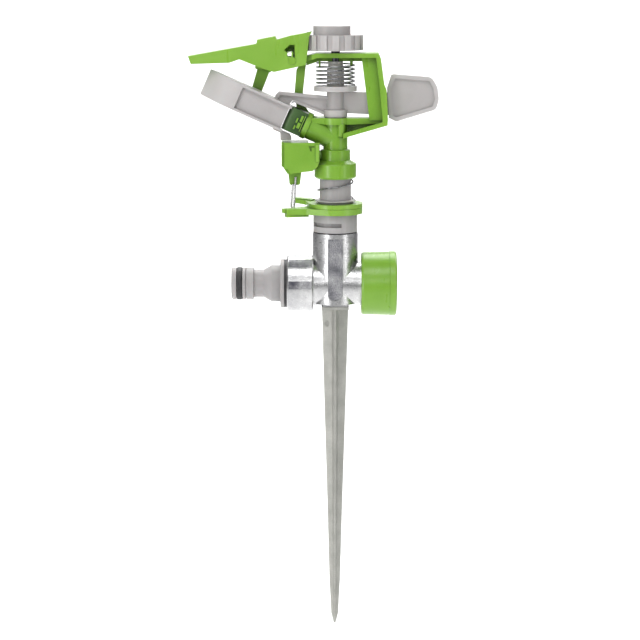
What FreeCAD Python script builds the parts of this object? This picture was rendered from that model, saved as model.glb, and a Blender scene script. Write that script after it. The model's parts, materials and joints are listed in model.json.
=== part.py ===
import FreeCAD, Part
import math
import os
import re
import Sketcher

# Impulse sprinkler on a ground spike. Millimetres, +Z up.
# Origin: on the upright axis of the head, where the blade of the spike meets its top plate.
# The nozzle points to -X and up, the side with the recessed panel of the tee faces -Y.

TABLE = {
    # upright stack
    "tee_axis_z": 13.1, "tee_r": 12.0, "tee_top": 40.6, "tee_bore": 9.3,
    "run_r": 11.6, "run_bore": 8.2, "collar_left": -25.5, "collar_right": -11.6,
    "collar_r": 15.0, "inlet_bore": 10.5, "outlet_r": 13.1, "outlet_end": 26.8,
    "nipple_r": 11.6, "nipple_bore": 6.6, "nipple_foot": 30.0, "nipple_low": 41.2,
    "nipple_high": 50.6, "neck_r": 9.4, "neck_top": 57.3,
    "ring_r": 14.4, "ring_bore": 9.5, "ring_low": 50.8, "ring_mid": 53.9, "ring_top": 56.2,
    "tab_reach": 27.0, "tab_w": 4.6,
    "tube_bore": 4.6, "tube_stem": 6.5, "sleeve_r": 8.3, "sleeve_low": 57.9,
    "tube_top": 82.0, "tube_foot": 25.4,
    # head frame
    "skirt_r": 11.0, "skirt_low": 69.3, "skirt_top": 78.2, "shoulder_r": 7.8,
    "shoulder_top": 84.6, "column_r": 6.4, "jet_z": 90.0, "jet_tilt": 24.0,
    "deck_low": 97.6, "deck_top": 101.0, "bridge_low": 132.1, "bridge_top": 134.5,
    "barrel_bore": 4.6, "flange_r": 7.1,
    "leg_front": -9.0, "leg_near": -2.7, "leg_back": 9.0,
    # swing arm
    "shaft_r": 2.3, "hub_bore": 2.35, "hub_r": 4.5, "hub_low": 101.4, "hub_top": 128.6,
    "mandrel_r": 4.5, "seat_r": 11.2, "seat_low": 114.8, "seat_top": 117.4,
    "beam_half": 2.2, "paddle_half": 2.3,
    # knob and flap
    "knob_r": 14.5, "knob_low": 135.5, "knob_mid": 138.0, "knob_top": 143.6,
    "grip_top": 148.2, "grip_r": 9.7, "ramp_pitch": 1.0, "ramp_rise": 0.75,
    "flap_x": -22.4, "flap_z": 130.6, "pin_r": 1.9,
    # trip gear
    "trip_z": 81.0, "trip_pin_r": 1.2, "wire_r": 0.55, "wire_x": -20.9, "wire_z": 69.4,
    # springs
    "coil_r": 9.9, "coil_wire": 0.45, "coil_pitch": 2.05,
    "base_coil_r": 9.25, "base_coil_wire": 0.4, "base_coil_pitch": 9.0,
}

document = FreeCAD.newDocument("impulse_sprinkler")
sheet = document.addObject("Spreadsheet::Sheet", "Dims")
for row, (word, number) in enumerate(TABLE.items(), start=1):
    sheet.set("A%d" % row, word)
    sheet.set("B%d" % row, str(number))
    sheet.setAlias("B%d" % row, word)
document.recompute()

PIECES = []


def value(text):
    """Work out a sum of table words and numbers, such as 'tee_top - 2 * tee_r'."""
    total = 0.0
    for term in str(text).replace(" ", "").replace("-", "+-").split("+"):
        if term:
            product = -1.0 if term.startswith("-") else 1.0
            for word in term.lstrip("-").split("*"):
                product *= TABLE[word] if word in TABLE else float(word)
            total += product
    return total


def bound(text):
    """The same sum as an expression on the spreadsheet."""
    return re.sub(r"[a-z][a-z0-9_]*", lambda word: "Dims." + word.group(0), str(text))


def bind(thing, prop, text):
    thing.setExpression(prop, bound(text))


def origin_item(owner, role):
    return [item for item in owner.Origin.OriginFeatures if item.Role == role][0]


def new_piece(label, x="0", z="0", tilt=None):
    """A body for one physical piece, placed in the common frame."""
    owner = document.addObject("PartDesign::Body", label)
    owner.Label = label
    turn = FreeCAD.Rotation()
    if tilt:
        turn = FreeCAD.Rotation(FreeCAD.Vector(0, 1, 0), value(tilt))
    owner.Placement = FreeCAD.Placement(FreeCAD.Vector(value(x), 0, value(z)), turn)
    bind(owner, "Placement.Base.x", x)
    bind(owner, "Placement.Base.z", z)
    PIECES.append(owner)
    return owner


def new_sketch(owner, plane, shift="0"):
    sketch = owner.newObject("Sketcher::SketchObject", owner.Name + "_sketch")
    sketch.AttachmentSupport = (origin_item(owner, plane + "_Plane"), [""])
    sketch.MapMode = "FlatFace"
    offset = FreeCAD.Vector(0, 0, value(shift))
    sketch.AttachmentOffset = FreeCAD.Placement(offset, FreeCAD.Rotation())
    bind(sketch, "AttachmentOffset.Base.z", shift)
    return sketch


def pin_point(sketch, edge, corner):
    """Tie the start of one edge to its table values."""
    for kind, text in (("DistanceX", corner[0]), ("DistanceY", corner[1])):
        rule = sketch.addConstraint(
            Sketcher.Constraint(kind, -1, 1, edge, 1, value(text)))
        bind(sketch, "Constraints[%d]" % rule, text)


def polygon(owner, plane, corners, shift="0"):
    """A closed outline. A corner with a third number is rounded to that radius."""
    sketch = new_sketch(owner, plane, shift)
    spots = [FreeCAD.Vector(value(c[0]), value(c[1]), 0) for c in corners]
    count = len(corners)
    starts, ends, arcs = [], [], []
    for i, corner in enumerate(corners):
        spot = spots[i]
        before = (spots[i - 1] - spot).normalize()
        after = (spots[(i + 1) % count] - spot).normalize()
        if len(corner) < 3:
            starts.append(spot)
            ends.append(spot)
            arcs.append(None)
            continue
        radius = value(corner[2])
        half = before.getAngle(after) / 2
        reach = radius / math.tan(half)
        middle = (before + after).normalize()
        heart = spot + middle * (radius / math.sin(half))
        starts.append(spot + before * reach)
        ends.append(spot + after * reach)
        arcs.append(Part.Arc(starts[-1], heart - middle * radius, ends[-1]))
    chain = []
    for i, corner in enumerate(corners):
        if arcs[i]:
            chain.append((sketch.addGeometry(arcs[i]), starts[i], ends[i], None))
        line = Part.LineSegment(ends[i], starts[(i + 1) % count])
        name = None if arcs[i] else corner
        chain.append((sketch.addGeometry(line), ends[i], starts[(i + 1) % count], name))
    join_chain(sketch, chain)
    return sketch


def join_chain(sketch, chain):
    for i, (edge, _, finish, corner) in enumerate(chain):
        follower, head = chain[(i + 1) % len(chain)][:2]
        sketch.addConstraint(Sketcher.Constraint(
            "Coincident", edge, end_index(sketch, edge, finish),
            follower, end_index(sketch, follower, head)))
        if corner:
            pin_point(sketch, edge, corner)


def end_index(sketch, edge, spot):
    """Which end of the edge lies on the spot: 1 for its start, 2 for its end."""
    return 1 if (sketch.getPoint(edge, 1) - spot).Length < 1e-5 else 2


def disc(owner, plane, spot, radius, shift="0"):
    sketch = new_sketch(owner, plane, shift)
    centre = FreeCAD.Vector(value(spot[0]), value(spot[1]), 0)
    sketch.addGeometry(Part.Circle(centre, FreeCAD.Vector(0, 0, 1), value(radius)))
    rule = sketch.addConstraint(Sketcher.Constraint("Radius", 0, value(radius)))
    bind(sketch, "Constraints[%d]" % rule, radius)
    for kind, text in (("DistanceX", spot[0]), ("DistanceY", spot[1])):
        rule = sketch.addConstraint(Sketcher.Constraint(kind, -1, 1, 0, 3, value(text)))
        bind(sketch, "Constraints[%d]" % rule, text)
    return sketch


def extrude(owner, sketch, length, cut=False):
    """Pad along the normal of the sketch, or pocket along the same way."""
    kind = "PartDesign::Pocket" if cut else "PartDesign::Pad"
    feature = owner.newObject(kind, owner.Name + ("_pocket" if cut else "_pad"))
    feature.Profile = sketch
    feature.Reversed = cut
    feature.Length = value(length)
    bind(feature, "Length", length)
    return feature


def negative(text):
    """The same sum with every sign turned round."""
    swap = {"+": "-", "-": "+"}
    flipped = "".join(swap.get(letter, letter) for letter in str(text).replace(" ", ""))
    return flipped[1:] if flipped.startswith("+") else "-" + flipped


def slab(owner, corners, front, back, cut=False):
    """Extrude an outline drawn in X and Z between two Y values."""
    sketch = polygon(owner, "XZ", corners, negative(back))
    return extrude(owner, sketch, "%s + %s" % (back, negative(front)), cut)


def rod_y(owner, spot, radius, front, back, cut=False):
    """A round bar along Y, centred on an (x, z) spot."""
    sketch = disc(owner, "XZ", spot, radius, negative(back))
    return extrude(owner, sketch, "%s + %s" % (back, negative(front)), cut)


def plate(owner, corners, low, high, cut=False):
    """Extrude an outline drawn in X and Y between two Z values."""
    sketch = polygon(owner, "XY", corners, low)
    return extrude(owner, sketch, "%s + %s" % (high, negative(low)), cut)


def rod_z(owner, spot, radius, low, high, cut=False):
    sketch = disc(owner, "XY", spot, radius, low)
    return extrude(owner, sketch, "%s + %s" % (high, negative(low)), cut)


def rod_x(owner, spot, radius, left, right, cut=False):
    """A round bar along X, centred on a (y, z) spot."""
    sketch = disc(owner, "YZ", spot, radius, left)
    return extrude(owner, sketch, "%s + %s" % (right, negative(left)), cut)


def turned(owner, corners, axis="Z", cut=False):
    """Turn a half outline drawn in the XZ plane about the Z axis or the X axis."""
    sketch = polygon(owner, "XZ", corners)
    kind = "PartDesign::Groove" if cut else "PartDesign::Revolution"
    feature = owner.newObject(kind, owner.Name + ("_groove" if cut else "_turned"))
    feature.Profile = sketch
    feature.ReferenceAxis = (origin_item(owner, axis + "_Axis"), [""])
    feature.Angle = 360
    return feature


def ring(label, inner, outer, low, high, z="0", axis="Z"):
    """A plain washer, square in section."""
    owner = new_piece(label, z=z)
    if axis == "Z":
        turned(owner, [(inner, low), (outer, low), (outer, high), (inner, high)])
    else:
        turned(owner, [(low, inner), (high, inner), (high, outer), (low, outer)], "X")


def around(owner, feature, axis, count):
    """Repeat a feature evenly round one of the body's own axes."""
    pattern = owner.newObject("PartDesign::PolarPattern", owner.Name + "_pattern")
    pattern.Originals = [feature]
    pattern.Axis = (origin_item(owner, axis + "_Axis"), [""])
    pattern.Angle = 360
    pattern.Occurrences = count
    owner.Tip = pattern


def helix(owner, sketch, pitch, height):
    feature = owner.newObject("PartDesign::AdditiveHelix", owner.Name + "_helix")
    feature.Profile = sketch
    feature.ReferenceAxis = (origin_item(owner, "Z_Axis"), [""])
    feature.Mode = 0
    feature.Pitch = value(pitch)
    feature.Height = value(height)
    bind(feature, "Pitch", pitch)
    bind(feature, "Height", height)
    return feature


# ---- parts that stand still ----

def ground_spike():
    owner = new_piece("ground_spike")
    sections = [blade_section(owner, *size) for size in (
        ("0", 7.0, 1.9), ("-50", 5.7, 1.6), ("-106", 4.05, 1.3), ("-151", 2.85, 1.0),
        ("-170", 1.9, 0.85), ("-175.7", 0.5, 0.45))]
    blade = owner.newObject("PartDesign::AdditiveLoft", "ground_spike_blade")
    blade.Profile = sections[0]
    blade.Sections = sections[1:]
    blade.Ruled = True
    plate(owner, [(-7.2, -7.2, 0.8), (7.2, -7.2, 0.8), (7.2, 7.2, 0.8), (-7.2, 7.2, 0.8)],
          "-0.2", "1.4")
    rod_z(owner, ("0", "0"), "3.5", "1.4", "3.6")
    rod_y(owner, ("-4.0", "-8.5"), "1.75", "-1.35", "-0.6")
    owner.Tip = rod_y(owner, ("-4.0", "-8.5"), "1.1", "-1.6", "-1.1", cut=True)
    slab(owner, [(1.2, -6.4), (4.6, -6.4), (4.6, -10.2), (1.2, -10.2)], "-1.2", "-0.6")


def blade_section(owner, level, reach, root):
    """A four-finned section: reach is the half width, root the thickness at the middle."""
    edge = min(0.35, reach - 0.1)
    quarter = [(reach, -edge), (reach, edge), (root, root)]
    corners = []
    for turn in range(4):
        for across, up in quarter:
            corners.append([(across, up), (-up, across), (-across, -up),
                            (up, -across)][turn])
    return polygon(owner, "XY", corners, level)


def tee_body():
    owner = new_piece("tee_body", z="tee_axis_z")
    low = "3.2 - tee_axis_z"
    top = "tee_top - tee_axis_z"
    turned(owner, [("0", low), ("tee_r", low), ("tee_r", top), ("0", top)])
    turned(owner, [
        ("collar_left", "0"), ("collar_left", "collar_r - 0.7"),
        ("collar_left + 0.7", "collar_r"), ("collar_right - 0.7", "collar_r"),
        ("collar_right", "collar_r - 0.9"), ("collar_right", "run_r"), ("13.9", "run_r"),
        ("13.9", "outlet_r"), ("outlet_end - 0.7", "outlet_r"),
        ("outlet_end", "outlet_r - 0.7"), ("outlet_end", "0")], "X")
    foot = [(-6.6, -6.6), (6.6, -6.6), (6.6, 6.6), (-6.6, 6.6)]
    plate(owner, foot, "1.5 - tee_axis_z", "6.0 - tee_axis_z")
    turned(owner, [("0", "0"), ("run_bore", "0"), ("run_bore", "9"), ("tee_bore", "10"),
                   ("tee_bore", top), ("0", top)], cut=True)
    turned(owner, [
        ("collar_left", "0"), ("collar_left", "inlet_bore"), ("-12.9", "inlet_bore"),
        ("-12.9", "run_bore"), ("14", "run_bore"), ("15.5", "10"), ("outlet_end", "10"),
        ("outlet_end", "0")], "X", cut=True)
    rod_z(owner, ("0", "0"), "3.55", "1.4 - tee_axis_z", "3.8 - tee_axis_z", cut=True)
    panel = [(-3.9, "38.2 - tee_axis_z"), (-3.9, "5.6 - tee_axis_z", 3.0),
             (3.9, "5.6 - tee_axis_z", 3.0), (3.9, "38.2 - tee_axis_z")]
    owner.Tip = slab(owner, panel, "-12.5", "-11.1", cut=True)


def inlet_connector():
    owner = new_piece("inlet_connector", z="tee_axis_z")
    turned(owner, [
        ("-54.9", "6.2"), ("-54.9", "7.9"), ("-54.3", "8.45"), ("-52.3", "8.45"),
        ("-52.3", "6.9"), ("-49.0", "6.9"), ("-49.0", "8.45"), ("-47.7", "8.45"),
        ("-47.3", "8.0"), ("-46.9", "8.45"), ("-43.3", "8.45"), ("-42.9", "7.3"),
        ("-37.8", "7.3"), ("-33.7", "9.7"), ("-29.0", "9.7"), ("-29.0", "12.5"),
        ("-28.6", "12.9"), ("-27.0", "12.9"), ("-27.0", "inlet_bore - 0.06"),
        ("-14.1", "inlet_bore - 0.06"), ("-13.4", "9.8"), ("-13.4", "6.2")], "X")


def inlet_o_ring():
    owner = new_piece("inlet_o_ring", z="tee_axis_z")
    turned(owner, [("-52.2", "6.95"), ("-49.1", "6.95"), ("-49.1", "8.65", 0.8),
                   ("-52.2", "8.65", 0.8)], "X")


def filter_screen():
    """A thimble strainer held in the bore of the inlet connector."""
    owner = new_piece("filter_screen", z="tee_axis_z")
    turned(owner, [("-12.95", "4.9"), ("-12.95", "8.8"), ("-13.35", "8.8"),
                   ("-13.35", "6.1"), ("-24.0", "5.6"), ("-24.0", "0"), ("-23.4", "0"),
                   ("-23.4", "5.0")], "X")
    hole = rod_y(owner, ("-16", "0"), "0.7", "-9", "9", cut=True)
    around(owner, hole, "X", 6)


def outlet_cap():
    owner = new_piece("outlet_cap", z="tee_axis_z")
    turned(owner, [
        ("13.7", "outlet_r + 0.08"), ("13.7", "15.7"), ("14.1", "16.3"),
        ("14.8", "16.6"), ("28.6", "16.85"), ("28.75", "17.1"), ("31.4", "17.1"),
        ("32.0", "16.8"), ("32.4", "16.0"), ("32.4", "0"), ("28.9", "0"),
        ("28.9", "outlet_r + 0.08")], "X")


def bearing_nipple():
    owner = new_piece("bearing_nipple")
    turned(owner, [
        ("nipple_bore", "nipple_foot"), ("8.6", "nipple_foot"), ("9.2", "30.7"),
        ("9.2", "nipple_low"), ("nipple_r", "nipple_low"), ("nipple_r", "nipple_high"),
        ("neck_r", "nipple_high"), ("neck_r", "neck_top"), ("nipple_bore", "neck_top")])
    slot = [(-12.4, -3.4), (-10.0, -2.8), (-8.5, -6.0), (-5.8, -8.6), (-2.4, -10.0),
            (3.2, -10.0), (3.2, -12.4), (-12.4, -12.4)]
    owner.Tip = plate(owner, slot, "44.2", "46.3", cut=True)


def trip_collar(label, low, high, heading, tab_low, tab_high, tip_low):
    """A friction ring on the neck of the nipple, with a stepped stop tab."""
    owner = new_piece(label)
    turned(owner, [("ring_bore", low), ("ring_r", low), ("ring_r", high),
                   ("ring_bore", high)])
    half = "0.5 * tab_w"
    plate(owner, [(2.6, -14.0), (8.6, -11.6), (17.0, -4.6), ("tab_reach", negative(half)),
                  ("tab_reach", half), (17.0, 4.6), (8.6, 11.6), (2.6, 14.0), (11.6, 8.0),
                  (12.6, 0.0), (11.6, -8.0)], low, high)
    plate(owner, [("ring_r + 0.6", negative(half)), ("tab_reach", negative(half)),
                  ("tab_reach", half), ("ring_r + 0.6", half)], tab_low, tab_high)
    plate(owner, [("tab_reach - 0.5", "-1.4"), ("tab_reach + 1.8", "-1.4"),
                  ("tab_reach + 1.8", "1.4"), ("tab_reach - 0.5", "1.4")], tip_low, tab_high)
    owner.Placement.Rotation = FreeCAD.Rotation(FreeCAD.Vector(0, 0, 1), heading)


def bearing_tube():
    """The hollow stem that carries the head. Its foot flange seals under the nipple."""
    owner = new_piece("bearing_tube")
    turned(owner, [
        ("tube_bore", "tube_foot"), ("8.4", "tube_foot"), ("8.4", "27.3"),
        ("tube_stem", "27.3"), ("tube_stem", "sleeve_low"), ("sleeve_r", "sleeve_low"),
        ("sleeve_r", "74.9"), ("6.0", "74.9"), ("6.0", "tube_top"),
        ("tube_bore", "tube_top")])


def bearing_spring():
    owner = new_piece("bearing_spring")
    start = disc(owner, "XZ", ("base_coil_r", "neck_top + 1.05"), "base_coil_wire")
    helix(owner, start, "base_coil_pitch", "15.5")


# ---- the head: frame, nozzle and fixings ----

def body_frame():
    column = new_piece("frame_column")
    turned(column, [
        ("0", "skirt_low"), ("skirt_r - 0.7", "skirt_low"), ("skirt_r", "skirt_low + 0.8"),
        ("skirt_r", "skirt_top - 1.2", 0.8), ("shoulder_r + 1", "skirt_top", 0.6),
        ("shoulder_r", "skirt_top + 0.6"), ("shoulder_r", "shoulder_top - 0.5"),
        ("column_r", "shoulder_top"), ("column_r", "jet_z"), ("0", "jet_z")])
    rod_z(column, ("0", "0"), "column_r", "jet_z", "deck_low + 0.5")
    rod_z(column, ("0", "0"), "8.0", "deck_low", "deck_top - 0.05")
    slab(column, [(-11.9, 101.0), (-12.6, 98.8), (-6.0, 97.6), (8.0, 97.6), (25, 98.4),
                  (27.0, 98.4), (27.1, 101.0)], "-5.5", "5.5")
    slab(column, [(3.0, 98.6), (3.0, 89.6), (6.2, 91.4), (27.0, 97.4), (27.0, 99.0)],
         "-1.5", "1.5")
    slab(column, [(4.0, 93.2), (4.0, 90.6), (6.2, 91.4), (27.0, 97.4), (27.0, 99.8)],
         "leg_front", "3.4")
    rod_z(column, ("3.0", "-5.6"), "2.1", "91.5", "deck_low + 0.4")
    rod_x(column, ("0", "trip_z"), "2.7", "-9.3", "-4.0")
    bridge_legs(column)
    barrel = new_piece("frame_barrel", z="jet_z", tilt="jet_tilt")
    turned(barrel, [
        ("0", "0"), ("0", "column_r"), ("-15.0", "column_r"), ("-15.4", "flange_r"),
        ("-18.0", "flange_r"), ("-18.0", "0")], "X")
    ball = barrel.newObject("PartDesign::AdditiveSphere", "elbow_ball")
    bind(ball, "Radius", "column_r")
    passage = new_piece("frame_passage")
    turned(passage, [
        ("0", "skirt_low - 1"), ("10.2", "skirt_low - 1"), ("10.2", "75.4"),
        ("6.05", "75.4"), ("6.05", "tube_top + 0.1"), ("tube_bore", "tube_top + 0.1"),
        ("tube_bore", "jet_z"), ("0", "jet_z")])
    bore = new_piece("frame_bore", z="jet_z", tilt="jet_tilt")
    turned(bore, [("0", "0"), ("0", "barrel_bore"), ("-19", "barrel_bore"), ("-19", "0")],
           "X")
    round_end = bore.newObject("PartDesign::AdditiveSphere", "passage_ball")
    bind(round_end, "Radius", "tube_bore")
    for tool in (column, barrel, passage, bore):
        PIECES.remove(tool)
    solid = document.addObject("Part::MultiFuse", "frame_solid")
    solid.Shapes = [column, barrel]
    hollow = document.addObject("Part::MultiFuse", "frame_hollow")
    hollow.Shapes = [passage, bore] + frame_holes()
    owner = document.addObject("Part::Cut", "body_frame")
    owner.Base = solid
    owner.Tool = hollow
    owner.Label = "body_frame"
    PIECES.append(owner)


def bridge_legs(owner):
    """The bridge over the arm: front right leg, top bar, rear left leg."""
    slab(owner, [
        (22.3, 134.5, 1.2), (23.4, 131.7), (25.2, 118.6), (26.4, 115.6), (27.2, 100.4),
        (27.0, 97.4), (24.2, 97.4), (24.4, 100.4), (22.6, 118.6), (20.9, 132.1),
        (20.6, 134.5)], "leg_front", "leg_near")
    slab(owner, [(13.6, 132.6), (13.8, 129.6), (15.8, 114.6), (17.6, 99.9), (25.0, 99.9),
                 (23.6, 117.0), (22.0, 132.6)], "leg_near - 3.6", "leg_near - 1.8")
    slab(owner, [(22.3, "bridge_top"), (21.4, "bridge_low"), (-9.6, "bridge_low"),
                 (-12.4, 131.1), (-12.4, 133.8), (-9.8, "bridge_top")],
         "leg_front", "leg_back")
    slab(owner, [(-11.8, 134.0), (-11.8, 131.3), (-14.9, 130.2), (-16.8, 131.2),
                 (-14.8, 133.1)], "-4.9", "leg_back")
    slab(owner, [(20.9, 132.5), (20.5, 130.1), (-8.6, 130.1), (-15.2, 127.9),
                 (-15.0, 131.0), (-9.6, 132.5)], "-1.5", "1.5")
    slab(owner, [(-14.4, 133.2), (-18.6, 133.2), (-19.1, 127.6), (-20.4, 125.4),
                 (-21.4, 113.6), (-20.9, 109.4), (-16.4, 109.4), (-17.0, 113.6),
                 (-15.4, 127.9)], "3.2", "leg_back")
    slab(owner, [(-21.2, 112.6), (-20.4, 105.2), (-12.6, 98.2), (-7.0, 98.2),
                 (-7.0, 100.9), (-12.4, 101.0), (-15.6, 106.0), (-16.8, 112.6)],
         "6.4", "leg_back")
    slab(owner, [(-6.2, 98.2), (-12.0, 98.2), (-12.4, 101.0), (-6.2, 101.0)],
         "-5.5", "leg_back")
    rod_y(owner, ("flap_x", "flap_z"), "pin_r", "-6.9", "6.9")
    ear = [(-14.8, 133.1), (-14.8, 129.4), (-21.6, 128.0), (-24.2, 128.8), (-24.9, 130.6),
           (-24.2, 132.2)]
    slab(owner, ear, "2.7", "4.8")
    slab(owner, ear, "-4.8", "-2.7")
    slab(owner, [(-9.0, 131), (-7.7, 131), (-7.7, 127.6), (-8.6, 127.6)], "-1.9", "-0.4")
    slab(owner, [(7.4, 131), (9.1, 131), (8.9, 128.2), (7.7, 127.6)], "-1.9", "-0.4")


def frame_holes():
    """Bores for the arm shaft and for the pin of the trip lever."""
    shaft_hole = document.addObject("Part::Cylinder", "shaft_hole")
    bind(shaft_hole, "Radius", "shaft_r + 0.03")
    bind(shaft_hole, "Height", "50")
    shaft_hole.Placement.Base = FreeCAD.Vector(0, 0, 96.5)
    pin_hole = document.addObject("Part::Cylinder", "pin_hole")
    bind(pin_hole, "Radius", "trip_pin_r + 0.04")
    bind(pin_hole, "Height", "3.4")
    along_x = FreeCAD.Rotation(FreeCAD.Vector(0, 1, 0), 90)
    pin_hole.Placement = FreeCAD.Placement(
        FreeCAD.Vector(-9.8, 0, TABLE["trip_z"]), along_x)
    return [shaft_hole, pin_hole]


def nozzle_block():
    owner = new_piece("nozzle_block", z="jet_z", tilt="jet_tilt")
    plate(owner, [(-28.2, -6.0, 3.0), (-18.1, -6.0), (-18.1, 6.0), (-28.2, 6.0, 3.0)],
          "-6.3", "6.3")
    rod_x(owner, ("0", "0"), "4.5", "-18.2", "-11.0")
    turned(owner, [("-28.5", "0"), ("-28.5", "2.95"), ("-20.0", "2.95"), ("-18.0", "3.4"),
                   ("-10.0", "3.4"), ("-10.0", "0")], "X", cut=True)
    owner.Tip = turned(owner, [("-15.0", "3.9"), ("-15.0", "5.2"), ("-13.8", "5.2"),
                               ("-13.8", "3.9")], "X", cut=True)


def nozzle_small_parts():
    insert = new_piece("nozzle_insert", z="jet_z", tilt="jet_tilt")
    turned(insert, [("-28.1", "2.0"), ("-28.1", "2.9"), ("-20.1", "2.9"), ("-18.4", "3.3"),
                    ("-18.4", "2.9")], "X")
    seal = new_piece("nozzle_o_ring", z="jet_z", tilt="jet_tilt")
    turned(seal, [("-14.85", "3.93"), ("-13.95", "3.93"), ("-13.95", "4.57", 0.25),
                  ("-14.85", "4.57", 0.25)], "X")
    vanes = new_piece("stream_straightener", z="jet_z", tilt="jet_tilt")
    turned(vanes, [("-10.6", "3.8"), ("-10.6", "4.5"), ("-4.4", "4.5"), ("-4.4", "3.8")],
           "X")
    slab(vanes, [(-10.4, -4.0), (-10.4, 4.0), (-4.6, 4.0), (-4.6, -4.0)], "-0.35", "0.35")
    plate(vanes, [(-10.4, -4.0), (-4.6, -4.0), (-4.6, 4.0), (-10.4, 4.0)], "-0.35", "0.35")


def arm_shaft():
    owner = new_piece("arm_shaft")
    turned(owner, [("0", "96.6"), ("shaft_r - 0.5", "96.6"), ("shaft_r", "97.1"),
                   ("shaft_r", "144.6"), ("shaft_r - 0.5", "145.1"), ("0", "145.1")])


def swing_arm():
    """One moulding: hub, beam, counterweight, water channel and reversing finger."""
    owner = new_piece("arm_hub")
    turned(owner, [
        ("hub_bore", "hub_low"), ("6.2", "hub_low"), ("6.2", "104.9"),
        ("hub_r", "105.4"), ("hub_r", "seat_low - 0.6"), ("seat_r - 1", "seat_low"),
        ("seat_r", "seat_low"), ("seat_r", "seat_top"), ("mandrel_r", "seat_top"),
        ("mandrel_r", "126.2"), ("3.9", "127.2"), ("3.9", "hub_top"),
        ("hub_bore", "hub_top")])
    half = "beam_half"
    front = "-1 * beam_half"
    web = [(-31.6, 110.6), (-30.0, 113.8), (-3.0, 111.4), (-3.0, 101.8), (-6.7, 103.1),
           (-22.2, 110.0), (-24.0, 108.0)]
    slab(owner, web, "-0.9", "0.9")
    slab(owner, [(-31.9, 110.8), (-31.2, 112.8), (-29.4, 114.5), (-3.0, 111.9),
                 (-3.0, 110.4), (-28.8, 112.8), (-30.4, 110.2)], front, half)
    slab(owner, [(-23.4, 107.9), (-21.8, 110.3), (-6.5, 104.2), (-3.0, 104.0),
                 (-3.0, 101.8), (-6.7, 102.8), (-21.5, 108.9)], front, half)
    slab(owner, [(3.0, 114.3), (28.0, 113.9), (28.0, 102.2), (3.0, 103.4)], "-1.6", "1.6")
    paddle(owner)
    members = [owner] + drive_trough()
    for member in members:
        PIECES.remove(member)
    whole = document.addObject("Part::MultiFuse", "swing_arm")
    whole.Shapes = members
    whole.Label = "swing_arm"
    PIECES.append(whole)


def paddle(owner):
    edge = "paddle_half"
    slab(owner, [
        (26.9, 116.3), (29.2, 123.5, 1.5), (50.1, 121.9, 4.0), (53.1, 116.6, 5.0),
        (53.9, 110.3, 6.0), (52.4, 105.2, 3.0), (31.7, 98.9, 1.5), (28.0, 100.8)],
         "-1 * paddle_half", edge)
    panel = [(29.0, 115.8), (31.0, 121.4), (48.8, 120.0), (51.0, 116.0), (51.8, 110.3),
             (50.6, 106.7), (31.9, 101.1), (30.2, 101.9)]
    slab(owner, panel, "-9", "-1.1", cut=True)
    owner.Tip = slab(owner, panel, "1.1", "9", cut=True)


def drive_trough():
    """Channel and curved drive vane, square to the jet, with the reversing finger."""
    owner = new_piece("arm_trough", z="jet_z", tilt="jet_tilt")
    vane = [(-54.9, -7.2), (-55.5, -8.4), (-62.0, -7.6, 18), (-68.0, -4.8, 18), (-73.9, 0.6),
            (-73.0, 1.8), (-67.4, -3.2, 15), (-61.6, -5.9, 15)]
    plate(owner, vane, "-7.6", "6.5")
    floor = [(-54.9, -8.4), (-55.5, -8.4), (-62.0, -7.6, 18), (-68.0, -4.8, 18), (-73.9, 0.6),
             (-73.0, 1.8), (-70.0, 5.2), (-62.0, 6.6), (-28.5, 6.6), (-28.5, -4.5),
             (-27.4, -8.4)]
    plate(owner, floor, "5.2", "6.5")
    plate(owner, floor, "-7.6", "-6.3")
    wall = [(-60.0, -6.6), (-28.5, -6.6), (-28.5, -5.2), (-58.5, -5.2)]
    plate(owner, wall, "-7.6", "6.5")
    plate(owner, [(-55.6, -8.4), (-54.8, -8.4), (-54.8, -6.8), (-55.6, -6.8)],
          "-7.6", "6.5")
    plate(owner, [(-32.0, -2.2), (-22.4, -2.2), (-22.4, 2.2), (-32.0, 2.2)], "-8.8", "-7.5")
    finger = new_piece("arm_finger")
    slab(finger, [(-28.8, 94.0), (-28.8, 89.3), (-23.0, 89.3), (-23.0, 91.4)],
         "-2.2", "2.2")
    return [owner, finger]


def arm_spring():
    owner = new_piece("arm_spring")
    start = disc(owner, "XZ", ("coil_r", "seat_top + 0.5"), "coil_wire")
    helix(owner, start, "coil_pitch", "11.2")


def range_knob():
    owner = new_piece("range_knob")
    turned(owner, [
        ("shaft_r + 0.04", "knob_mid"), ("knob_r", "knob_mid"), ("knob_r", "knob_top"),
        ("shaft_r + 0.04", "knob_top")])
    ramp = polygon(owner, "XZ", [("-1 * knob_r", "knob_low"), ("-1 * knob_r", "knob_low + 3.2"),
                                 ("-10.6", "knob_low + 3.2"), ("-10.6", "knob_low")])
    helix(owner, ramp, "ramp_pitch", "ramp_rise")
    rod_z(owner, ("-1.9", "0"), "grip_r", "knob_top - 0.2", "grip_top")
    notch = plate(owner, [(13.3, -1.5), (16, -1.5), (16, 1.5), (13.3, 1.5)],
                  "knob_mid - 4", "knob_top + 0.1", cut=True)
    around(owner, notch, "Z", 14)
    owner.Tip = rod_z(owner, ("0", "0"), "shaft_r + 0.04", "130", "145.3", cut=True)


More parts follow.
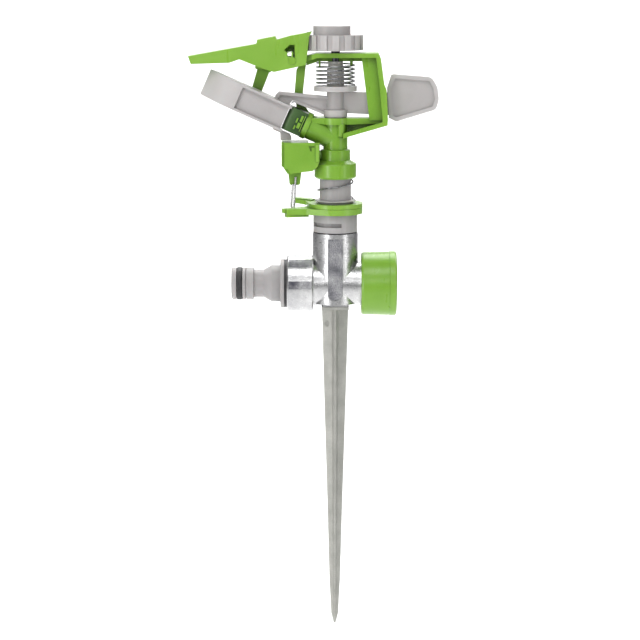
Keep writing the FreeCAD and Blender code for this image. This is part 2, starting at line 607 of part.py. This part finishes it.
def diffuser_flap():
    owner = new_piece("diffuser_flap", x="flap_x", z="flap_z")
    side = [
        (-53.9, 2.3), (-52.5, -1.7), (-32.6, -1.1), (-27.4, 0.7), (-15.5, -3.9),
        (-9.5, -5.8), (0.3, -3.7), (7.1, -2.1), (7.9, 4.4), (8.8, 12.6),
        (10.2, 14.8), (-1.2, 12.7), (-7.9, 10.8),
        (-8.8, 12.5), (-18.2, 10.7), (-18.5, 8.6), (-34.4, 5.8)]
    slab(owner, side, "-6.6", "6.6")
    inner = [(-36.0, -9.0), (-36.0, 3.6), (-18.0, 6.6), (-8.0, 9.0), (6.1, 11.6), (6.1, -9.0)]
    slab(owner, inner, "-5.2", "5.2", cut=True)
    slab(owner, [(4.9, 3.4), (4.9, 12.4), (7.4, 12.4), (7.4, 3.4)], "-6.0", "6.0")
    slab(owner, [(5.2, 3.4), (5.2, 4.4), (9.9, 4.4), (9.9, 3.7)], "-1.8", "1.8")
    slab(owner, [(2.6, -9.0), (2.6, 4.6), (4.6, 4.6), (4.6, 3.3), (12.0, 3.3), (12.0, -9.0)],
         "-5.1", "7.0", cut=True)
    rod_y(owner, ("0", "0"), "pin_r + 0.05", "-7", "7", cut=True)
    slab(owner, [(7.5, -9.0), (7.5, 16.0), (12.0, 16.0), (12.0, -9.0)], "-5.2", "5.2",
         cut=True)
    slab(owner, [(-2.6, 2.1), (-2.6, 4.0), (-0.4, 4.3), (-0.4, 2.1)], "-7", "7", cut=True)
    slab(owner, [(-4.3, 5.4), (-1.4, 8.1), (1.2, 8.1), (1.4, 1.2), (0.4, 2.0), (0.4, 4.6),
                 (-2.8, 4.3)], "-7", "-5", cut=True)
    strut = [(-19.6, -3.3), (-19.6, -4.6), (-18.6, -5.2), (-21.6, -15.5), (-23.4, -25.8),
             (-18.6, -25.8), (-15.8, -15.5), (-12.3, -6.8), (-10.0, -5.6), (-10.0, -3.3)]
    owner.Tip = slab(owner, strut, "7.1", "9.4")
    slab(owner, [(-19.6, -3.3), (-19.6, -4.4), (-9.2, -5.7), (-9.2, -3.3)], "4.8", "9.4")


def trip_lever():
    owner = new_piece("trip_lever", z="trip_z")
    front = [(-25.4, 7.6), (-25.4, -5.4, 1.0), (-23.4, -8.4), (-11.8, -7.0), (-9.5, -5.0),
             (-8.2, -2.0), (-8.2, 7.6)]
    slab(owner, front, "-11.4", "-9.8")
    slab(owner, [(-28.1, 7.6), (-28.1, -4.6), (-26.5, -6.0), (-26.5, 7.6)], "-8.4", "6.4")
    slab(owner, [(-26.6, 7.6), (-26.6, -6.0), (-25.0, -6.0), (-25.0, 7.6)], "-11.4", "-8.0")
    slab(owner, [(-28.1, -4.6), (-26.5, -6.0), (-24.0, -6.0), (-24.0, -4.6)], "-8.4", "5.2")
    slab(owner, [(-28.1, 7.6), (-14.2, 7.6), (-14.2, 6.2), (-28.1, 6.2)], "-8.4", "6.4")
    slab(owner, [(-25.4, 7.6), (-14.2, 7.6), (-14.2, 6.2), (-25.4, 6.2)], "-11.4", "-8.4")
    slab(owner, [(-13.9, 5.9), (-10.9, 5.9), (-10.9, 3.2), (-13.0, 3.2)], "-12", "-10.6",
         cut=True)
    slab(owner, [(-28.1, 7.6), (-28.1, -6.0), (-14.2, -6.0), (-14.2, 7.6)], "5.0", "6.4")
    slab(owner, [(-12.4, 5.2), (-12.4, -3.4), (-10.8, -3.4), (-10.8, 5.2)], "-11.4", "3.4")
    slab(owner, [(-10.3, 6.8), (-10.3, -2.2), (-8.6, -2.2), (-8.6, 6.8)], "-12.0", "-10.6")
    slab(owner, [(-26.9, -5.0), (-24.8, -8.7), (-24.0, -15.4, 1.0), (-18.6, -15.4, 1.0),
                 (-17.8, -8.7), (-12.2, -7.2), (-12.2, -5.4)], "-0.9", "0.9")
    slab(owner, [(-26.9, -5.6), (-25.0, -8.5), (-16.0, -7.4), (-16.0, -5.6)],
         "-10.6", "0.9")
    rod_x(owner, ("0", "0"), "trip_pin_r + 0.05", "-29", "-10", cut=True)
    hole = rod_y(owner, ("wire_x", "wire_z - trip_z"), "0.6", "-2", "2", cut=True)
    owner.Tip = hole
    pin = new_piece("trip_pivot_pin", z="trip_z")
    rod_x(pin, ("0", "0"), "trip_pin_r", "-28.0", "-6.5")


def trip_wire():
    """A steel hairpin hooked through the tab of the trip lever."""
    owner = new_piece("trip_wire", x="wire_x", z="wire_z")
    rod_y(owner, ("0", "0"), "wire_r", "-1.7", "1.7")
    path = new_sketch(owner, "XZ", "1.55")
    spots = [FreeCAD.Vector(0, 0, 0), FreeCAD.Vector(-0.7, -14.7, 0),
             FreeCAD.Vector(-2.3, -14.7, 0), FreeCAD.Vector(-1.4, -3.4, 0)]
    bend = Part.Arc(spots[1], FreeCAD.Vector(-1.5, -15.5, 0), spots[2])
    path.addGeometry(Part.LineSegment(spots[0], spots[1]))
    path.addGeometry(bend)
    path.addGeometry(Part.LineSegment(spots[2], spots[3]))
    for edge in (0, 1):
        near = 1 if (path.getPoint(edge + 1, 1) - spots[edge + 1]).Length < 1e-6 else 2
        path.addConstraint(Sketcher.Constraint(
            "Coincident", edge, end_index(path, edge, spots[edge + 1]), edge + 1, near))
    section = disc(owner, "XY", ("0", "-1.55"), "wire_r")
    strands = owner.newObject("PartDesign::AdditivePipe", "trip_wire_strands")
    strands.Profile = section
    strands.Spine = path
    owner.Tip = strands


def trip_spring():
    owner = new_piece("trip_spring", x="-23.6", z="trip_z")
    start = disc(owner, "XZ", ("1.75", "0"), "0.3")
    helix(owner, start, "0.8", "7.2")
    turn = FreeCAD.Rotation(FreeCAD.Vector(0, 1, 0), 90)
    owner.Placement.Rotation = turn


def build():
    ground_spike()
    tee_body()
    inlet_connector()
    inlet_o_ring()
    ring("inlet_washer", "10.55", "12.7", "-26.93", "-25.57", z="tee_axis_z", axis="X")
    filter_screen()
    outlet_cap()
    ring("outlet_washer", "10.2", "13.0", "26.9", "28.8", z="tee_axis_z", axis="X")
    bearing_nipple()
    ring("nipple_washer", "9.4", "11.4", "tee_top + 0.03", "nipple_low - 0.03")
    trip_collar("lower_trip_collar", "ring_low", "ring_mid", 195, "49.4", "ring_mid", "51.7")
    trip_collar("upper_trip_collar", "ring_mid + 0.15", "ring_top", 138,
                "ring_mid + 0.15", "ring_top + 0.6", "ring_mid + 0.6")
    ring("top_washer", "tube_stem + 0.2", "10.8", "neck_top + 0.02", "neck_top + 0.55")
    ring("lower_thrust_washer", "tube_stem + 0.1", "8.9", "27.35", "28.6")
    ring("upper_thrust_washer", "tube_stem + 0.1", "8.9", "28.65", "29.95")
    bearing_tube()
    bearing_spring()
    body_frame()
    nozzle_block()
    nozzle_small_parts()
    arm_shaft()
    ring("arm_washer", "hub_bore", "5.6", "deck_top + 0.01", "hub_low - 0.05")
    swing_arm()
    arm_spring()
    range_knob()
    ring("shaft_collar", "hub_bore", "3.9", "hub_top + 0.15", "bridge_low - 2.1")
    diffuser_flap()
    trip_lever()
    trip_wire()
    trip_spring()


def check_and_export():
    document.recompute()
    for item in document.Objects:
        states = set(item.State)
        if states & {"Invalid", "Error"}:
            raise RuntimeError("%s is %s" % (item.Label, item.State))
    os.makedirs("parts", exist_ok=True)
    for piece in PIECES:
        if piece.Shape.isNull() or not piece.Shape.isValid():
            raise RuntimeError("%s has no valid shape" % piece.Label)
        piece.Shape.exportStep("parts/%s.step" % piece.Label)


build()
check_and_export()
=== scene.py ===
import json
import math

import bmesh
import bpy
from mathutils import Matrix, Vector, noise


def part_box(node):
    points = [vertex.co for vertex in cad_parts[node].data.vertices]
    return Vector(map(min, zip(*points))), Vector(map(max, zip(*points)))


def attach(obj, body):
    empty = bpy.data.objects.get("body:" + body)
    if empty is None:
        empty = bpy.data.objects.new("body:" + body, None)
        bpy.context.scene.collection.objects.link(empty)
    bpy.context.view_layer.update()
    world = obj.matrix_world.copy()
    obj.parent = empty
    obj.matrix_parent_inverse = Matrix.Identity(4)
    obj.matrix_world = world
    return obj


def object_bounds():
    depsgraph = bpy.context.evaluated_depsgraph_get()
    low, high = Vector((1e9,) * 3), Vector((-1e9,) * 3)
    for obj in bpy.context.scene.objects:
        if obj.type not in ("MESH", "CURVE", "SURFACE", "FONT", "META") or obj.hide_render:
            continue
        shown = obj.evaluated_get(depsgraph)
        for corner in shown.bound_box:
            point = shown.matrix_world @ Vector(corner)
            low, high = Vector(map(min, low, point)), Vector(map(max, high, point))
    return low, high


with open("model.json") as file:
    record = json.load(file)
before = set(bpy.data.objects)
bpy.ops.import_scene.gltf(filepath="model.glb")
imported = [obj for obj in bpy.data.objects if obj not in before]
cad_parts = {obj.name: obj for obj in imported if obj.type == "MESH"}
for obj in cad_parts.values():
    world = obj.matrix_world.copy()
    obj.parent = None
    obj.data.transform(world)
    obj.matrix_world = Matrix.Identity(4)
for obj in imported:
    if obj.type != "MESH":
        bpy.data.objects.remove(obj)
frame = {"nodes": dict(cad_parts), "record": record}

CAD_BOX = [list(corner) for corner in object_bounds()]
MM = 0.001
JET_HEIGHT = 90.0 * MM          # where the axis of the nozzle crosses the upright axis
JET_TILT = math.radians(24.0)


def corners_of(node):
    """The low and the high corner of a CAD node's box."""
    return [Vector(corner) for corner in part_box(node)]


# ---- materials ----

def new_material(name):
    """An empty node material: the material, its node tree and its shader."""
    material = bpy.data.materials.new(name)
    material.use_nodes = True
    nodes = material.node_tree.nodes
    nodes.clear()
    output = nodes.new("ShaderNodeOutputMaterial")
    shader = nodes.new("ShaderNodeBsdfPrincipled")
    material.node_tree.links.new(shader.outputs[0], output.inputs[0])
    return material, material.node_tree, shader


def place_coordinates(tree):
    """Object coordinates: the row frame in metres for every CAD node."""
    return tree.nodes.new("ShaderNodeTexCoord").outputs["Object"]


def noise_layer(tree, where, per_metre, detail=4.0, rough=0.55, stretch=None):
    """Noise with so many lumps to the metre. A small number in stretch makes long streaks."""
    if stretch:
        mapping = tree.nodes.new("ShaderNodeMapping")
        mapping.inputs["Scale"].default_value = stretch
        tree.links.new(where, mapping.inputs["Vector"])
        where = mapping.outputs[0]
    layer = tree.nodes.new("ShaderNodeTexNoise")
    layer.inputs["Scale"].default_value = per_metre
    layer.inputs["Detail"].default_value = detail
    layer.inputs["Roughness"].default_value = rough
    tree.links.new(where, layer.inputs["Vector"])
    return layer.outputs[0]


def remap(tree, source, low, high, from_low=0.3, from_high=0.7):
    """Spread a value from one range to another and clip it there."""
    node = tree.nodes.new("ShaderNodeMapRange")
    node.inputs["From Min"].default_value = from_low
    node.inputs["From Max"].default_value = from_high
    node.inputs["To Min"].default_value = low
    node.inputs["To Max"].default_value = high
    tree.links.new(source, node.inputs["Value"])
    return node.outputs[0]


def blend_colours(tree, factor, first, second):
    """Mix two colours, each a tuple or a socket. The factor is the share of the second."""
    node = tree.nodes.new("ShaderNodeMix")
    node.data_type = "RGBA"
    tree.links.new(factor, node.inputs[0])
    for socket, colour in ((6, first), (7, second)):
        if isinstance(colour, tuple):
            node.inputs[socket].default_value = (*colour, 1.0)
        else:
            tree.links.new(colour, node.inputs[socket])
    return node.outputs[2]


def add_bump(tree, shader, heights):
    """Chain (height, strength, distance in metres) into the normal of the shader."""
    last = None
    for height, strength, distance in heights:
        node = tree.nodes.new("ShaderNodeBump")
        node.inputs["Strength"].default_value = strength
        node.inputs["Distance"].default_value = distance
        tree.links.new(height, node.inputs["Height"])
        if last:
            tree.links.new(last, node.inputs["Normal"])
        last = node.outputs[0]
    tree.links.new(last, shader.inputs["Normal"])


def painted_edge_highlight(tree):
    """A mask for a painted highlight: bright on sharp outer edges, dark elsewhere."""
    geometry = tree.nodes.new("ShaderNodeNewGeometry")
    return remap(tree, geometry.outputs["Pointiness"], 0.0, 1.0, 0.53, 0.62)


def painted_recess_shade(tree, reach):
    """A mask for shade painted into the colour: 1 in the open and less in corners and recesses,
    within reach metres.
    """
    node = tree.nodes.new("ShaderNodeAmbientOcclusion")
    node.samples = 8
    node.inputs["Distance"].default_value = reach
    return node.outputs["AO"]


def moulded_plastic(name, colour, pale, dark, rough=(0.30, 0.42), coat=0.0, recess_shade_share=0.45):
    """Injection moulded plastic: fine spark grain, soft flow marks, a painted highlight on
    sharp edges and painted shade in corners and recesses.

    The last argument scales the dark colour that is painted as shade into corners and recesses.
    """
    material, tree, shader = new_material(name)
    where = place_coordinates(tree)
    clouds = noise_layer(tree, where, 90.0, 3.0)
    speckle = noise_layer(tree, where, 2600.0, 2.0)
    flow = noise_layer(tree, where, 160.0, 2.0, stretch=(1.0, 1.0, 0.25))
    tone = blend_colours(tree, remap(tree, clouds, 0.0, 1.0), dark, colour)
    tone = blend_colours(tree, remap(tree, speckle, 0.0, 0.25, 0.5, 0.8), tone, pale)
    # painted highlight: the pale colour laid on sharp outer edges
    tone = blend_colours(tree, remap(tree, painted_edge_highlight(tree), 0.0, 0.5, 0.0, 1.0), tone, pale)
    # painted shade: the colour darkens towards the dark colour in corners and recesses
    tone = blend_colours(tree, remap(tree, painted_recess_shade(tree, 0.008), 0.0, 1.0, 0.25, 0.95),
                         tuple(recess_shade_share * part for part in dark), tone)
    tree.links.new(tone, shader.inputs["Base Color"])
    tree.links.new(remap(tree, flow, *rough), shader.inputs["Roughness"])
    shader.inputs["IOR"].default_value = 1.49
    shader.inputs["Coat Weight"].default_value = coat
    shader.inputs["Coat Roughness"].default_value = 0.18
    shader.inputs["Subsurface Weight"].default_value = 0.06
    shader.inputs["Subsurface Scale"].default_value = 0.001
    add_bump(tree, shader, [(speckle, 0.05, 0.00004), (flow, 0.25, 0.00008)])
    return material


def cast_metal(name, colour, dark, metallic, rough, pits, ripple):
    """Cast metal: pits and ripples from the mould, darker in the low places."""
    material, tree, shader = new_material(name)
    where = place_coordinates(tree)
    broad = noise_layer(tree, where, 120.0, 4.0)
    pitted = noise_layer(tree, where, 1500.0, 5.0, 0.7)
    tone = blend_colours(tree, remap(tree, broad, 0.0, 1.0), dark, colour)
    tone = blend_colours(tree, remap(tree, pitted, 0.0, 0.5, 0.45, 0.65), tone, dark)
    tree.links.new(tone, shader.inputs["Base Color"])
    tree.links.new(remap(tree, pitted, *rough), shader.inputs["Roughness"])
    shader.inputs["Metallic"].default_value = metallic
    add_bump(tree, shader, [(broad, ripple, 0.0004), (pitted, pits, 0.00008)])
    return material


def drawn_steel(name, colour, dark, rough=(0.18, 0.34)):
    """Drawn wire or rod: fine scratches along it and a little tarnish."""
    material, tree, shader = new_material(name)
    where = place_coordinates(tree)
    scratches = noise_layer(tree, where, 1800.0, 3.0, stretch=(1.0, 1.0, 0.15))
    tarnish = noise_layer(tree, where, 260.0, 4.0)
    tone = blend_colours(tree, remap(tree, tarnish, 0.0, 1.0), dark, colour)
    tree.links.new(tone, shader.inputs["Base Color"])
    tree.links.new(remap(tree, scratches, *rough), shader.inputs["Roughness"])
    shader.inputs["Metallic"].default_value = 1.0
    add_bump(tree, shader, [(scratches, 0.15, 0.00003)])
    return material


def black_rubber(name):
    material, tree, shader = new_material(name)
    where = place_coordinates(tree)
    bloom = noise_layer(tree, where, 420.0, 4.0)
    grain = noise_layer(tree, where, 3200.0, 2.0)
    tone = blend_colours(tree, remap(tree, bloom, 0.0, 1.0), (0.012, 0.012, 0.013),
                         (0.035, 0.035, 0.036))
    tree.links.new(tone, shader.inputs["Base Color"])
    tree.links.new(remap(tree, bloom, 0.42, 0.6), shader.inputs["Roughness"])
    add_bump(tree, shader, [(grain, 0.2, 0.00003)])
    return material


MATERIALS = {
    "green_plastic": moulded_plastic(
        "green_plastic", (0.205, 0.420, 0.036), (0.29, 0.53, 0.075), (0.180, 0.385, 0.028),
        rough=(0.26, 0.38), coat=0.1),
    "dark_green_plastic": moulded_plastic(
        "dark_green_plastic", (0.048, 0.110, 0.028), (0.085, 0.17, 0.05),
        (0.036, 0.085, 0.022)),
    "grey_plastic": moulded_plastic(
        "grey_plastic", (0.400, 0.385, 0.385), (0.52, 0.50, 0.50), (0.36, 0.345, 0.345),
        rough=(0.36, 0.5), recess_shade_share=0.7),
    "light_grey_plastic": moulded_plastic(
        "light_grey_plastic", (0.475, 0.455, 0.450), (0.62, 0.60, 0.59),
        (0.43, 0.41, 0.405), rough=(0.34, 0.48), recess_shade_share=0.95),
    "cast_grey": cast_metal(
        "cast_grey", (0.50, 0.50, 0.465), (0.37, 0.37, 0.34), 0.35, (0.42, 0.6), 0.45, 0.5),
    "chromed_casting": cast_metal(
        "chromed_casting", (0.74, 0.74, 0.735), (0.50, 0.50, 0.51), 1.0, (0.22, 0.38),
        0.8, 0.7),
    "rough_casting": cast_metal(
        "rough_casting", (0.50, 0.50, 0.51), (0.08, 0.08, 0.10), 0.7, (0.3, 0.5), 1.0, 0.6),
    "spring_steel": drawn_steel("spring_steel", (0.34, 0.34, 0.35), (0.14, 0.14, 0.15)),
    "bright_wire": drawn_steel("bright_wire", (0.72, 0.72, 0.72), (0.5, 0.5, 0.5)),
    "shaft_steel": drawn_steel("shaft_steel", (0.13, 0.13, 0.15), (0.06, 0.06, 0.07),
                               rough=(0.28, 0.4)),
    "black_rubber": black_rubber("black_rubber"),
}


def dress(thing, material):
    thing.data.materials.clear()
    thing.data.materials.append(MATERIALS[material])


def dress_nodes():
    """Each CAD node in its record's material slot. The trip wire is a brighter steel."""
    for part in frame["record"]["subparts"]:
        for slot in frame["nodes"][part["node"]].material_slots:
            slot.material = MATERIALS[part["material_slot"]]
    dress(frame["nodes"]["trip_wire"], "bright_wire")


def soften_edges(names, width):
    """A small rounded edge on moulded and cast parts, as the real ones have."""
    for name in names:
        softener = frame["nodes"][name].modifiers.new("soft_edges", "BEVEL")
        softener.width = width
        softener.segments = 2
        softener.limit_method = "ANGLE"
        softener.angle_limit = math.radians(50)
        softener.use_clamp_overlap = True
        softener.harden_normals = True


dress_nodes()
soften_edges(("swing_arm", "diffuser_flap", "trip_lever", "body_frame", "nozzle_block",
              "lower_trip_collar", "upper_trip_collar", "outlet_cap", "range_knob",
              "ground_spike", "tee_body"), 0.22 * MM)


# ---- pieces that CAD leaves plain ----

def add_piece(name, mesh, material, body):
    """A smooth piece that rides a body, in one of the finishes above."""
    data = bpy.data.meshes.new(name)
    mesh.to_mesh(data)
    mesh.free()
    piece = bpy.data.objects.new(name, data)
    bpy.context.collection.objects.link(piece)
    for polygon in data.polygons:
        polygon.use_smooth = True
    dress(piece, material)
    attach(piece, body)
    return piece


def thicken(piece, thickness):
    """Give a sheet a thickness, inwards from its outer face."""
    shell = piece.modifiers.new("thickness", "SOLIDIFY")
    shell.thickness = thickness
    shell.offset = -1.0


def cast_grain(spot, coarseness):
    """Sand-cast roughness, about -1 to 1, at a place in metres."""
    return noise.noise(spot * coarseness) + 0.7 * noise.noise(spot * 3600.0)


def skin(mesh, grid):
    """Faces between the neighbouring lines of a grid of vertices."""
    for lower, upper in zip(grid, grid[1:]):
        for left in range(len(lower) - 1):
            mesh.faces.new((lower[left], lower[left + 1], upper[left + 1], upper[left]))


def run_axis_height():
    """Height of the axis of the tee's horizontal run."""
    low, high = corners_of("inlet_connector")
    return (low.z + high.z) / 2


def rough_panel():
    """The grainy cast floor of the recess in the front of the tee, with its rounded foot."""
    floor_y, half_width, foot_radius = -11.4 * MM, 3.8 * MM, 3.2 * MM
    relief, rim = 0.24 * MM, 0.5 * MM
    top = corners_of("tee_body")[1].z - 2.5 * MM
    bottom = run_axis_height() - 7.4 * MM
    columns, rows = 56, 200
    mesh = bmesh.new()
    grid = []
    for row in range(rows + 1):
        z = bottom + (top - bottom) * row / rows
        rise = min(1.0, (z - bottom) / foot_radius)
        width = half_width + foot_radius * (math.sqrt(max(0.0, 1.0 - (1.0 - rise) ** 2)) - 1.0)
        line = []
        for column in range(columns + 1):
            x = width * (2.0 * column / columns - 1.0)
            fade = max(0.0, min(1.0, (width - abs(x)) / rim, (top - z) / rim))
            grain = cast_grain(Vector((x, 0.0, z)), 1500.0)
            line.append(mesh.verts.new((x, floor_y - relief * grain * fade, z)))
        grid.append(line)
    skin(mesh, grid)
    panel = add_piece("tee_cast_panel", mesh, "rough_casting", "base")
    thicken(panel, 0.25 * MM)


def cast_bands():
    """Two grainy bands left by the mould across the front of the inlet collar."""
    low, high = corners_of("tee_body")
    axis_z, radius = run_axis_height(), high.y
    left, right = low.x + 0.9 * MM, low.x + 13.2 * MM
    lift, relief = 0.10 * MM, 0.14 * MM
    columns, rows = 120, 40
    mesh = bmesh.new()
    for middle, half in ((54.0, 11.0), (5.0, 8.0)):
        grid = []
        for row in range(rows + 1):
            turn = math.radians(middle + half * (2.0 * row / rows - 1.0))
            line = []
            for column in range(columns + 1):
                x = left + (right - left) * column / columns
                fade = min(1.0, min(row, rows - row, column, columns - column) / 3.0)
                grain = cast_grain(Vector((x, turn * radius, 0.0)), 1700.0)
                reach = radius + lift + relief * grain * fade
                line.append(mesh.verts.new((x, -reach * math.cos(turn),
                                            axis_z + reach * math.sin(turn))))
            grid.append(line)
        skin(mesh, grid)
    bands = add_piece("tee_cast_bands", mesh, "rough_casting", "base")
    thicken(bands, 0.2 * MM)


def nozzle_lug():
    """Ribbed bayonet lug on the camera side of the nozzle block."""
    block_side = -6.25 * MM
    proud = 0.9 * MM
    bars = [((-20.3, 2.6), (1.3, 3.4)), ((-20.5, -1.3), (1.7, 3.1)), ((-22.3, 0.9), (0.9, 2.6)),
            ((-22.2, -2.9), (0.9, 2.2)), ((-19.0, 0.2), (0.5, 9.0))]
    frame_of_jet = (Matrix.Translation((0.0, 0.0, JET_HEIGHT))
                    @ Matrix.Rotation(JET_TILT, 4, "Y"))
    mesh = bmesh.new()
    for (x, z), (wide, tall) in bars:
        made = bmesh.ops.create_cube(mesh, size=1.0)
        size = Matrix.Diagonal((wide * MM, proud, tall * MM, 1.0))
        place = Matrix.Translation((x * MM, block_side, z * MM))
        bmesh.ops.transform(mesh, matrix=frame_of_jet @ place @ size, verts=made["verts"])
    lug = add_piece("nozzle_lug", mesh, "green_plastic", "head")
    soft = lug.modifiers.new("soft_edges", "BEVEL")
    soft.width = 0.25 * MM
    soft.segments = 3


rough_panel()
cast_bands()
nozzle_lug()


# ---- floor, light and camera ----

def pale_floor():
    """White card, greyer far off to the sides of the back, where the chrome mirrors it."""
    material, tree, shader = new_material("pale_floor")
    where = place_coordinates(tree)
    mottle = noise_layer(tree, where, 6.0, 3.0)
    pale = blend_colours(tree, mottle, (0.96, 0.96, 0.96), (0.98, 0.98, 0.98))
    parts = tree.nodes.new("ShaderNodeSeparateXYZ")
    tree.links.new(where, parts.inputs[0])
    aside = tree.nodes.new("ShaderNodeMath")
    aside.operation = "ABSOLUTE"
    tree.links.new(parts.outputs["X"], aside.inputs[0])
    corner = tree.nodes.new("ShaderNodeMath")
    corner.operation = "MULTIPLY"
    behind = remap(tree, parts.outputs["Y"], 0.0, 1.0, 0.3, 0.9)
    tree.links.new(behind, corner.inputs[0])
    tree.links.new(remap(tree, aside.outputs[0], 0.0, 1.0, 0.75, 1.1), corner.inputs[1])
    tree.links.new(blend_colours(tree, corner.outputs[0], pale, (0.30, 0.30, 0.31)),
                   shader.inputs["Base Color"])
    shader.inputs["Roughness"].default_value = 0.9
    return material


def make_backdrop(ground):
    """A pale floor that curves up into a wall far behind the object."""
    radius, wall, height, front, half = 1.2, 3.0, 4.0, -4.0, 5.0
    steps = 16
    profile = [(front, ground)]
    for step in range(steps + 1):
        turn = math.radians(90 * step / steps)
        profile.append((wall - radius + radius * math.sin(turn),
                        ground + radius - radius * math.cos(turn)))
    profile.append((wall, ground + height))
    mesh = bmesh.new()
    rows = [[mesh.verts.new((x, y, z)) for x in (-half, half)] for y, z in profile]
    for lower, upper in zip(rows, rows[1:]):
        mesh.faces.new((lower[0], lower[1], upper[1], upper[0])).smooth = True
    data = bpy.data.meshes.new("backdrop")
    mesh.to_mesh(data)
    mesh.free()
    data.materials.append(pale_floor())
    backdrop = bpy.data.objects.new("backdrop", data)
    bpy.context.collection.objects.link(backdrop)


def make_world():
    """White studio with a dark horizon and a darker zenith, which the bright metal mirrors."""
    world = bpy.data.worlds.new("studio")
    bpy.context.scene.world = world
    world.use_nodes = True
    tree = world.node_tree
    direction = tree.nodes.new("ShaderNodeTexCoord").outputs["Generated"]
    parts = tree.nodes.new("ShaderNodeSeparateXYZ")
    tree.links.new(direction, parts.inputs[0])
    ramp = tree.nodes.new("ShaderNodeValToRGB")
    ramp.color_ramp.elements[0].color = (0.16, 0.16, 0.17, 1.0)
    ramp.color_ramp.elements[1].color = (0.30, 0.30, 0.30, 1.0)
    for place, level in ((0.16, 0.16), (0.30, 0.9), (0.86, 1.1), (0.94, 0.35)):
        stop = ramp.color_ramp.elements.new(place)
        stop.color = (level, level, level, 1.0)
    tree.links.new(parts.outputs["Z"], ramp.inputs[0])
    background = tree.nodes["Background"]
    tree.links.new(ramp.outputs[0], background.inputs["Color"])
    background.inputs["Strength"].default_value = 0.52


def area_light(name, spot, aim, size, watts):
    """A rectangular lamp, unseen by the camera, that faces the aim."""
    data = bpy.data.lights.new(name, "AREA")
    data.shape = "RECTANGLE"
    data.size, data.size_y = size
    data.energy = watts
    lamp = bpy.data.objects.new(name, data)
    bpy.context.collection.objects.link(lamp)
    lamp.location = spot
    lamp.visible_camera = False
    lamp.rotation_euler = (aim - spot).to_track_quat("-Z", "Y").to_euler()


def make_camera(low, high):
    """Just above the level of the knob, one metre away, straight on."""
    right, up = 0.0032, 0.0070
    middle = (low + high) / 2
    aim = Vector((middle.x + right, 0.0, middle.z + up))
    pitch, distance = math.radians(10.5), 1.0
    camera = bpy.data.objects.new("camera", bpy.data.cameras.new("camera"))
    bpy.context.collection.objects.link(camera)
    camera.data.lens = 105.5
    camera.data.dof.use_dof = False
    camera.location = aim + Vector((0, -math.cos(pitch), math.sin(pitch))) * distance
    camera.rotation_euler = (aim - camera.location).to_track_quat("-Z", "Y").to_euler()
    bpy.context.scene.camera = camera
    return aim


low_corner, high_corner = [Vector(corner) for corner in CAD_BOX]
make_backdrop(low_corner.z - 0.25)
make_world()
aim_point = make_camera(low_corner, high_corner)
for light_name, offset, light_size, power in (
        ("left_strip", (-1.1, -1.2, 0.1), (0.35, 1.1), 7),
        ("right_strip", (1.3, -1.0, 0.1), (0.22, 1.1), 3),
        ("front", (-0.15, -1.7, 0.55), (0.5, 0.5), 2.5),
        ("top", (-0.2, -0.75, 1.1), (0.7, 0.5), 5)):
    area_light(light_name, aim_point + Vector(offset), aim_point, light_size, power)
area_light("floor_wash", Vector((0.0, 1.2, low_corner.z + 1.6)),
           Vector((0.0, 1.6, low_corner.z - 0.3)), (3.0, 1.6), 70)
bpy.context.scene.view_settings.view_transform = "Standard"
